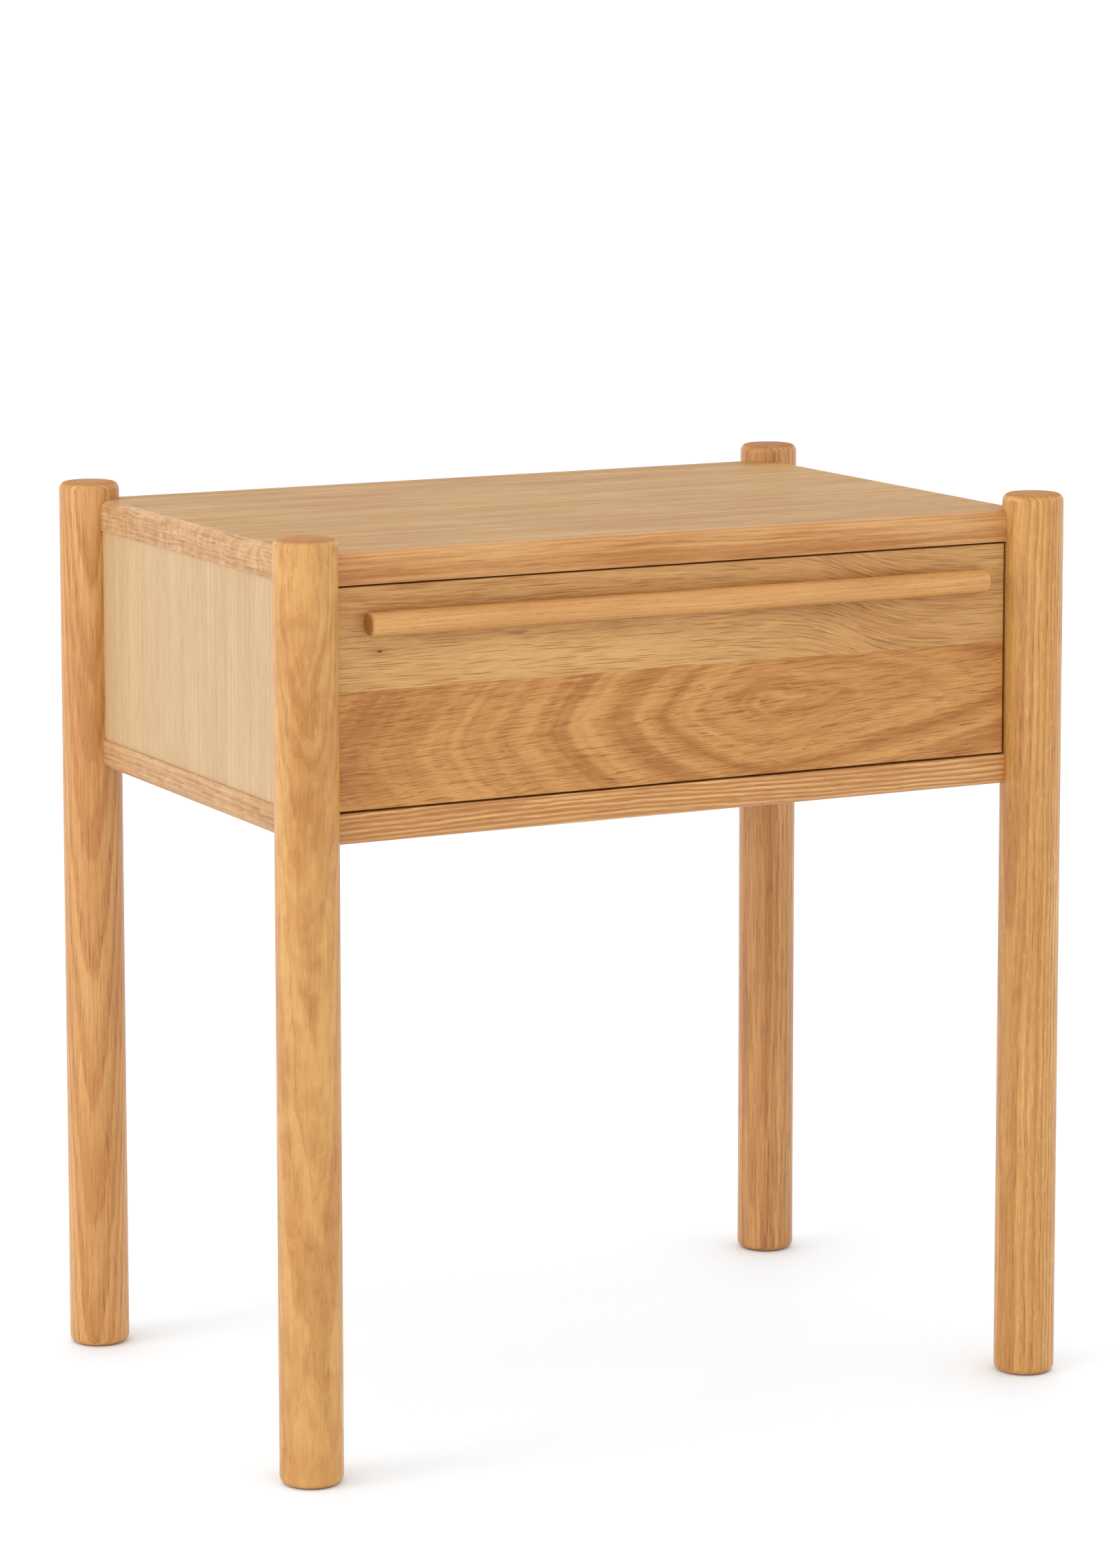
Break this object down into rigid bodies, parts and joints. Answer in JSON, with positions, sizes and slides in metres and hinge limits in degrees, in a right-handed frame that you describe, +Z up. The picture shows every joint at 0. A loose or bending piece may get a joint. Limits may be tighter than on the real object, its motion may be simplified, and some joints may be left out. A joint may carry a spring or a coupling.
{
  "type": "bedside table with drawer",
  "caption": "Oak bedside table: a lipped rectangular case held high between full-height round corner posts, with an inset drawer on ball-bearing slides and a long dowel pull.",
  "frame": {"origin": "on the floor, under the middle of the table's overall box", "axes": "+Z up, +X to the right as seen facing the drawer, and the drawer opens towards -Y"},
  "size_m": [0.562, 0.3898, 0.59],
  "materials": {
    "leg_oak": "satin oiled solid oak, grain upright",
    "lipping_oak": "satin oiled solid oak edge strip, grain along the edge",
    "veneer_oak": "satin oiled straight-grained oak veneer",
    "board_oak": "satin oak-faced board",
    "front_oak": "satin oiled solid oak, grain left to right",
    "pull_oak": "satin oiled solid oak dowel",
    "drawer_ply": "clear-lacquered birch plywood",
    "dowel_beech": "raw beech",
    "zinc_steel": "zinc-plated rolled steel",
    "ball_steel": "polished bearing steel",
    "cage_steel": "thin stamped steel",
    "screw_steel": "yellow-passivated steel"
  },
  "bodies": {
    "case": {"front_left_leg": "leg_oak", "front_right_leg": "leg_oak", "back_left_leg": "leg_oak", "back_right_leg": "leg_oak", "top_front_lipping": "lipping_oak", "bottom_front_lipping": "lipping_oak", "top_back_lipping": "lipping_oak", "bottom_back_lipping": "lipping_oak", "top_left_lipping": "lipping_oak", "bottom_left_lipping": "lipping_oak", "top_right_lipping": "lipping_oak", "bottom_right_lipping": "lipping_oak", "top_board": "board_oak", "bottom_board": "board_oak", "back_panel": "board_oak", "top_veneer": "veneer_oak", "corner_dowels": "dowel_beech", "side_panel_dowels": "dowel_beech", "case_slide_screws": "screw_steel", "left_side_panel": "board_oak", "left_side_veneer": "veneer_oak", "left_slide_outer_member": "zinc_steel", "right_side_panel": "board_oak", "right_side_veneer": "veneer_oak", "right_slide_outer_member": "zinc_steel"},
    "drawer": {"drawer_front_upper_board": "front_oak", "drawer_front_lower_board": "front_oak", "drawer_pull": "pull_oak", "pull_screws": "screw_steel", "drawer_front_screws": "screw_steel", "drawer_inner_front": "drawer_ply", "drawer_back": "drawer_ply", "drawer_base": "drawer_ply", "left_drawer_side": "drawer_ply", "right_drawer_side": "drawer_ply", "drawer_dowels": "dowel_beech", "drawer_slide_screws": "screw_steel", "left_slide_inner_member": "zinc_steel", "right_slide_inner_member": "zinc_steel"},
    "left_outer_balls": {"left_outer_ball_cage": "cage_steel", "left_outer_balls": "ball_steel"},
    "left_middle_member": {"left_slide_middle_member": "zinc_steel"},
    "left_inner_balls": {"left_inner_ball_cage": "cage_steel", "left_inner_balls": "ball_steel"},
    "right_outer_balls": {"right_outer_ball_cage": "cage_steel", "right_outer_balls": "ball_steel"},
    "right_middle_member": {"right_slide_middle_member": "zinc_steel"},
    "right_inner_balls": {"right_inner_ball_cage": "cage_steel", "right_inner_balls": "ball_steel"}
  },
  "joints": [
    {"name": "drawer_slide", "type": "slide", "parent": "case", "child": "drawer", "axis": [0, -1, 0], "range_m": [0, 0.27]},
    {"name": "left_outer_balls_slide", "type": "slide", "parent": "case", "child": "left_outer_balls", "axis": [0, -1, 0], "range_m": [0, 0.0675]},
    {"name": "left_middle_member_slide", "type": "slide", "parent": "case", "child": "left_middle_member", "axis": [0, -1, 0], "range_m": [0, 0.135]},
    {"name": "left_inner_balls_slide", "type": "slide", "parent": "case", "child": "left_inner_balls", "axis": [0, -1, 0], "range_m": [0, 0.2025]},
    {"name": "right_outer_balls_slide", "type": "slide", "parent": "case", "child": "right_outer_balls", "axis": [0, -1, 0], "range_m": [0, 0.0675]},
    {"name": "right_middle_member_slide", "type": "slide", "parent": "case", "child": "right_middle_member", "axis": [0, -1, 0], "range_m": [0, 0.135]},
    {"name": "right_inner_balls_slide", "type": "slide", "parent": "case", "child": "right_inner_balls", "axis": [0, -1, 0], "range_m": [0, 0.2025]}
  ],
  "couplings": [
    {"joint": "left_outer_balls_slide", "follows": "drawer_slide", "ratio": 0.25},
    {"joint": "left_middle_member_slide", "follows": "drawer_slide", "ratio": 0.5},
    {"joint": "left_inner_balls_slide", "follows": "drawer_slide", "ratio": 0.75},
    {"joint": "right_outer_balls_slide", "follows": "drawer_slide", "ratio": 0.25},
    {"joint": "right_middle_member_slide", "follows": "drawer_slide", "ratio": 0.5},
    {"joint": "right_inner_balls_slide", "follows": "drawer_slide", "ratio": 0.75}
  ]
}
